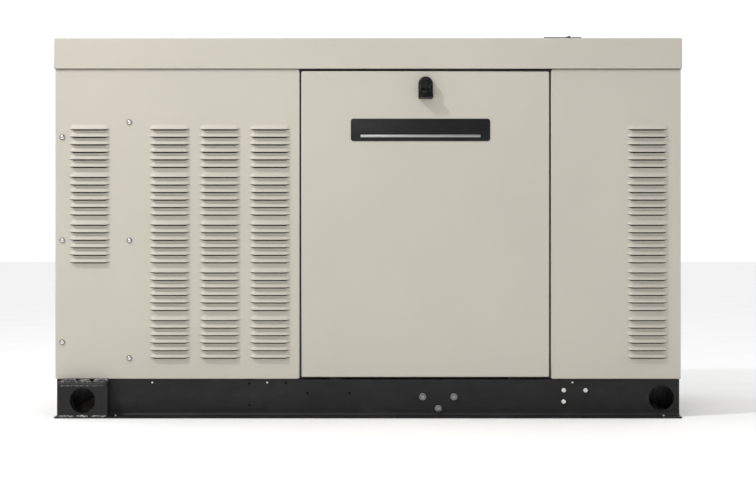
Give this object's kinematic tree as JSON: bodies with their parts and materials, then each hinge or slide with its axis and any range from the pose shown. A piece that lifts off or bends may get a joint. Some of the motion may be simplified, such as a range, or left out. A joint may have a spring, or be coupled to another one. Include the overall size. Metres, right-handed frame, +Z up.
{
  "type": "home standby generator",
  "caption": "Liquid-cooled standby generator in a louvred steel cabinet on a black base, with a tilt-out service door.",
  "frame": {"origin": "on the ground under the middle of the base", "axes": "+X along the length to the radiator end, -Y is the service side, +Z up"},
  "size_m": [1.966, 0.851, 1.196],
  "materials": {
    "stone_paint": "fine-textured powder coat",
    "frame_paint": "semi-gloss black paint",
    "inner_steel": "grey powder coat",
    "zinc": "bright zinc plate",
    "dark_bolt": "phosphated steel",
    "seal_rubber": "matte rubber",
    "liner_foam": "acoustic foam",
    "latch_black": "black moulded latch",
    "badge_black": "plain name plate",
    "engine_iron": "painted casting",
    "cast_alloy": "sand cast",
    "pan_black": "black moulding",
    "rusty_iron": "heat-browned casting",
    "filter_orange": "painted can",
    "machined_steel": "machined",
    "yellow_grip": "yellow service point",
    "radiator_black": "black cooling pack",
    "alloy_cap": "pressed cap",
    "exhaust_steel": "aluminised steel",
    "gas_grey": "regulator casting",
    "switch_black": "moulded switch",
    "stop_red": "red mushroom button"
  },
  "bodies": {
    "enclosure": {"front_rail": "frame_paint", "rear_rail": "frame_paint", "crossmembers": "frame_paint", "lifting_brackets": "frame_paint", "rail_screws": "zinc", "rail_bolts": "dark_bolt", "front_left_panel": "stone_paint", "front_right_panel": "stone_paint", "rear_left_panel": "stone_paint", "rear_right_panel": "stone_paint", "rear_access_panel": "stone_paint", "left_end_panel": "stone_paint", "right_end_panel": "stone_paint", "panel_screws": "zinc", "frame_posts": "inner_steel", "roof_headers": "inner_steel", "door_seal": "seal_rubber", "roof": "stone_paint", "roof_flap_hinge": "latch_black", "engine_block": "engine_iron", "cylinder_head": "engine_iron", "valve_cover": "cast_alloy", "oil_pan": "pan_black", "intake_manifold": "cast_alloy", "exhaust_manifold": "rusty_iron", "oil_filter": "filter_orange", "dipstick_tube": "machined_steel", "generator_housing": "cast_alloy", "stator": "machined_steel", "engine_mounts": "seal_rubber", "fan_belt": "seal_rubber", "radiator": "radiator_black", "radiator_baffle": "inner_steel", "fan_shroud": "inner_steel", "coolant_hoses": "seal_rubber", "muffler": "exhaust_steel", "exhaust_pipe": "exhaust_steel", "air_cleaner": "pan_black", "fuel_regulator": "gas_grey", "battery_tray": "inner_steel", "battery": "pan_black", "control_box": "pan_black", "main_breaker": "pan_black"},
    "front_door": {"front_door": "stone_paint", "door_liner": "liner_foam", "door_badge": "badge_black", "latch_housing": "latch_black"},
    "latch_spindle": {"latch_spindle": "latch_black"},
    "latch_lever": {"latch_lever": "latch_black"},
    "latch_key_cover": {"latch_key_cover": "latch_black"},
    "roof_flap": {"roof_flap": "latch_black"},
    "radiator_cap": {"radiator_cap": "alloy_cap"},
    "dipstick": {"dipstick": "yellow_grip"},
    "oil_filler_cap": {"oil_filler_cap": "yellow_grip"},
    "crankshaft": {"crankshaft": "machined_steel", "rotor": "machined_steel"},
    "fan": {"fan": "radiator_black"},
    "mode_switch": {"mode_switch": "switch_black"},
    "e_stop": {"e_stop": "stop_red"},
    "breaker_toggle": {"breaker_toggle": "switch_black"}
  },
  "joints": [
    {"name": "door_tilt", "type": "hinge", "parent": "enclosure", "child": "front_door", "pos_m": [0.179, -0.382, 0.122], "axis": [-1, 0, 0], "range_deg": [-25, 0]},
    {"name": "latch_turn", "type": "hinge", "parent": "front_door", "child": "latch_spindle", "pos_m": [0.18, -0.383, 1.043], "axis": [0, -1, 0], "range_deg": [0, 90]},
    {"name": "lever_fold", "type": "hinge", "parent": "latch_spindle", "child": "latch_lever", "pos_m": [0.18, -0.403, 1.019], "axis": [-1, 0, 0], "range_deg": [0, 90]},
    {"name": "key_cover_swing", "type": "hinge", "parent": "latch_spindle", "child": "latch_key_cover", "pos_m": [0.18, -0.4105, 1.055], "axis": [0, 1, 0], "range_deg": [0, 120]},
    {"name": "flap_open", "type": "hinge", "parent": "enclosure", "child": "roof_flap", "pos_m": [0.61, -0.25, 1.192], "axis": [-1, 0, 0], "range_deg": [0, 110]},
    {"name": "radiator_cap_twist", "type": "hinge", "parent": "enclosure", "child": "radiator_cap", "pos_m": [0.622, -0.312, 1.12], "axis": [0, 0, 1], "range_deg": [0, 90]},
    {"name": "dipstick_pull", "type": "slide", "parent": "enclosure", "child": "dipstick", "axis": [0, 0, 1], "range_m": [0, 0.3]},
    {"name": "filler_cap_twist", "type": "hinge", "parent": "enclosure", "child": "oil_filler_cap", "pos_m": [-0.1, 0, 0.72], "axis": [0, 0, 1], "range_deg": [0, 90]},
    {"name": "crank_spin", "type": "hinge", "parent": "enclosure", "child": "crankshaft", "pos_m": [0, 0, 0.33], "axis": [1, 0, 0], "continuous": true},
    {"name": "fan_spin", "type": "hinge", "parent": "enclosure", "child": "fan", "pos_m": [0, 0, 0.52], "axis": [1, 0, 0], "continuous": true},
    {"name": "mode_switch_turn", "type": "hinge", "parent": "enclosure", "child": "mode_switch", "pos_m": [0, -0.345, 0.96], "axis": [0, 1, 0], "range_deg": [-45, 45]},
    {"name": "e_stop_press", "type": "slide", "parent": "enclosure", "child": "e_stop", "axis": [0, 1, 0], "range_m": [0, 0.006], "stiffness_N_per_m": 800},
    {"name": "breaker_throw", "type": "hinge", "parent": "enclosure", "child": "breaker_toggle", "pos_m": [0.1275, -0.345, 0.9], "axis": [1, 0, 0], "range_deg": [0, 40]}
  ],
  "couplings": [
    {"joint": "fan_spin", "follows": "crank_spin", "ratio": 1.2097}
  ]
}
